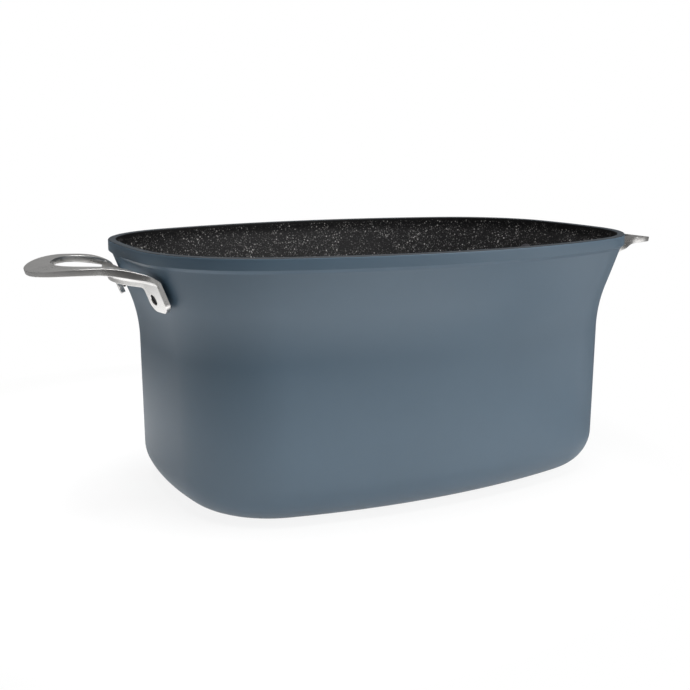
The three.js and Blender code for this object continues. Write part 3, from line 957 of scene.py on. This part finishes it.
# Name, place and size in millimetres, and power in watts
SOFTBOXES = (
    ("top_softbox", (0, 0, 1500), 1000, 46),
    ("right_softbox", (1300, -1500, 1300), 1600, 29),
    ("left_softbox", (-1300, 500, 500), 700, 0.6),
    ("back_softbox", (200, 3000, 1700), 2000, 3),
)

# The photograph's viewpoint, about the middle of the pot
FOCAL_LENGTH = 53.28
AZIMUTH = math.radians(-27.36)
ELEVATION = math.radians(11.59)
CAMERA_DISTANCE = 717.89
AIM_ASIDE = -19.08
AIM_UP = 3.55


def pale_floor():
    """White to the camera, with a trace of its own shade that keeps the pot's shadow.

    A mirroring face finds it pale in patches of painted light and grey between them, painted shade, and the
    pot is lit by both; to mirroring rays it also glows white, most at the pot's foot, a painted glow that
    hides the contact shadow in reflections.
    """
    floor = Finish("pale_floor")

    def light_patch(middle, faded, full):
        ends = {0: floor.place, 1: middle}
        return floor.node("ShaderNodeVectorMath", {"operation": "DISTANCE"}, ends, "Value").step(faded, full)

    seen, mirrored_in, through = (
        floor.node("ShaderNodeLightPath", {}, {}, f"Is {kind} Ray")
        for kind in ("Camera", "Glossy", "Transmission")
    )
    # Pale patches are painted light and the grey round them painted shade, on a floor the pot mirrors and is
    # lit by
    rear, front = light_patch(*REAR_LIGHT_PATCH), light_patch(*FRONT_LIGHT_PATCH)
    aside = floor.node("ShaderNodeSeparateXYZ", {}, {0: floor.place}, "X")
    depth = floor.node("ShaderNodeSeparateXYZ", {}, {0: floor.place}, "Y")
    field = aside.step(*LIGHT_FIELD_ASIDE) * depth.step(*LIGHT_FIELD_AHEAD)
    shade_grey = floor.blend(aside.step(*SHADE_GREY_LEFT), DARK_SHADE_GREY, SHADE_GREY)
    colour = floor.blend((rear + front + field).step(0, 1), shade_grey, PALE)
    diffuse = floor.node("ShaderNodeBsdfDiffuse", {}, {"Color": colour})
    white = floor.node("ShaderNodeEmission", {}, {"Color": WHITE, "Strength": 1})
    rounded = floor.node("ShaderNodeVectorMath", {"operation": "MULTIPLY"}, {0: floor.place, 1: FOOT_GLOW_SCALE})
    out = floor.node("ShaderNodeVectorMath", {"operation": "LENGTH"}, {0: rounded}, "Value")
    # A painted glow for mirroring rays: white over the floor's shade, most at the pot's foot, where it hides
    # the contact shadow
    mirrored_glow = MIRRORED_WHITE + MIRRORED_REAR_GLOW * rear + MIRRORED_FOOT_GLOW * out.step(*FOOT_GLOW_EDGE)
    share = (seen + through) * (1 - SHADE_SEEN * rear) + mirrored_in * mirrored_glow
    mixed = floor.node("ShaderNodeMixShader", {}, {0: share, 1: diffuse, 2: white})
    output = floor.tree.nodes["Material Output"]
    floor.tree.links.new(mixed.socket, output.inputs["Surface"])
    floor.tree.nodes.remove(floor.surface)
    reach = FLOOR_REACH
    corners = [(x, y, 0) for x, y in ((-reach, -reach), (reach, -reach), (reach, reach), (-reach, reach))]
    plane = object_of("studio_floor", mesh_of("studio_floor", corners, [(0, 1, 2, 3)]))
    plane.data.materials.append(floor.material)


def studio_world():
    """White to the camera, and a faint even light on the pot."""
    world = bpy.data.worlds.new("studio_world")
    world.use_nodes = True
    tree = world.node_tree
    background = tree.nodes["Background"]
    path = tree.nodes.new("ShaderNodeLightPath")
    strength = tree.nodes.new("ShaderNodeMapRange")
    tree.links.new(path.outputs["Is Camera Ray"], strength.inputs["Value"])
    strength.inputs["To Min"].default_value = WORLD_LIGHT
    strength.inputs["To Max"].default_value = 1
    tree.links.new(strength.outputs["Result"], background.inputs["Strength"])
    background.inputs["Color"].default_value = WHITE
    bpy.context.scene.world = world


def softbox(name, place, size, power):
    """A square lamp at a place in millimetres that faces the middle of the pot."""
    lamp = bpy.data.lights.new(name, "AREA")
    lamp.shape = "SQUARE"
    lamp.size = size * METRE
    lamp.energy = power
    holder = bpy.data.objects.new(name, lamp)
    holder.location = Vector(place) * METRE
    aim = Vector((0, 0, POT_HEIGHT / 2)) * METRE - holder.location
    holder.rotation_euler = aim.to_track_quat("-Z", "Y").to_euler()
    bpy.context.scene.collection.objects.link(holder)


def photo_camera():
    """A level camera without shift at the photograph's viewpoint, which its outlines gave."""
    lens = bpy.data.cameras.new("photo_camera")
    lens.sensor_fit = "HORIZONTAL"
    lens.sensor_width = 36
    lens.lens = FOCAL_LENGTH
    lens.clip_start = 0.01
    lens.clip_end = 100
    holder = bpy.data.objects.new("photo_camera", lens)
    level = math.cos(ELEVATION)
    right = Vector((math.cos(AZIMUTH), math.sin(AZIMUTH), 0))
    back = Vector((math.sin(AZIMUTH) * level, -math.cos(AZIMUTH) * level, math.sin(ELEVATION)))
    up = back.cross(right)
    target = Vector((0, 0, POT_HEIGHT / 2)) + AIM_ASIDE * right + AIM_UP * up
    place = Matrix.Translation((target + CAMERA_DISTANCE * back) * METRE)
    holder.matrix_world = place @ Matrix((right, up, back)).transposed().to_4x4()
    bpy.context.scene.collection.objects.link(holder)
    bpy.context.scene.camera = holder


pale_floor()
studio_world()
for name, place, size, power in SOFTBOXES:
    softbox(name, place, size, power)
photo_camera()
bpy.context.scene.view_settings.view_transform = "Standard"
